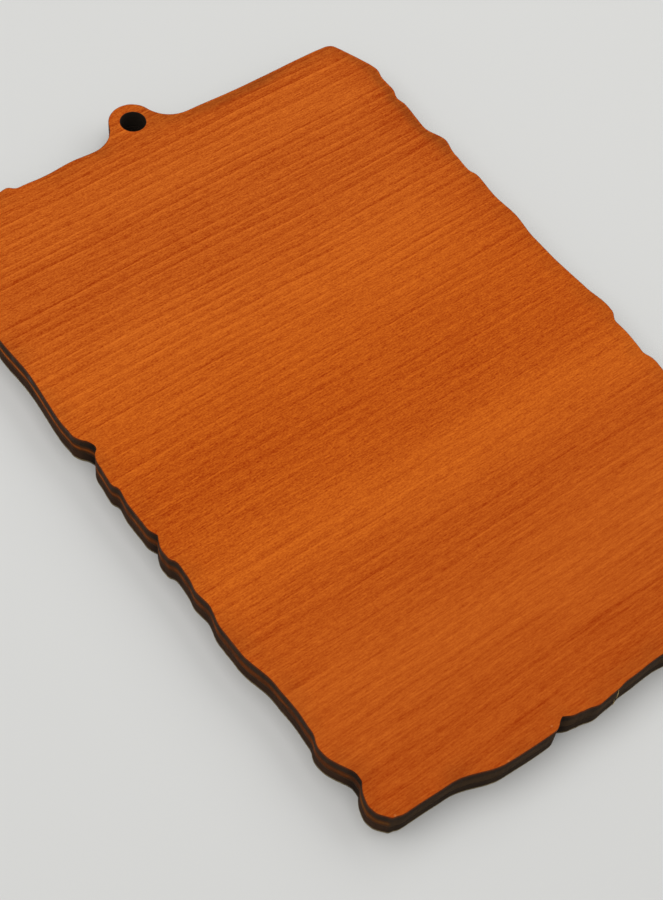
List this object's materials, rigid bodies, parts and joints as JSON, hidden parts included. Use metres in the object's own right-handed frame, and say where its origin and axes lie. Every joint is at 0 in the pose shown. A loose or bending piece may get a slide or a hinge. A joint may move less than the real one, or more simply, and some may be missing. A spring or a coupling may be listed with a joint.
{
  "type": "hanging wooden icon plaque",
  "caption": "Small flat plywood icon plaque: ragged laser-cut outline, picture sheet bonded on the front, plain stained back, and a round hanging ear with a through hole.",
  "frame": {"origin": "middle of the outline's box, on the picture face that the plaque lies on", "axes": "+X across the plaque, +Y up it towards the hanging ear, +Z from the picture face to the plain back"},
  "size_m": [0.0586, 0.0894, 0.004],
  "materials": {
    "picture": "varnished print, ochre ground",
    "adhesive": "clear film, yellowed at the edge",
    "front_wood": "charred at the edge, grain across",
    "glue": "dark cured resin",
    "core_wood": "browned at the edge, grain along",
    "back_wood": "orange-brown stain under satin varnish, fine straight grain across"
  },
  "bodies": {
    "root": {"picture_sheet": "picture", "picture_adhesive": "adhesive", "front_veneer": "front_wood", "front_glue_line": "glue", "core_ply": "core_wood", "back_glue_line": "glue", "back_veneer": "back_wood"}
  },
  "joints": []
}
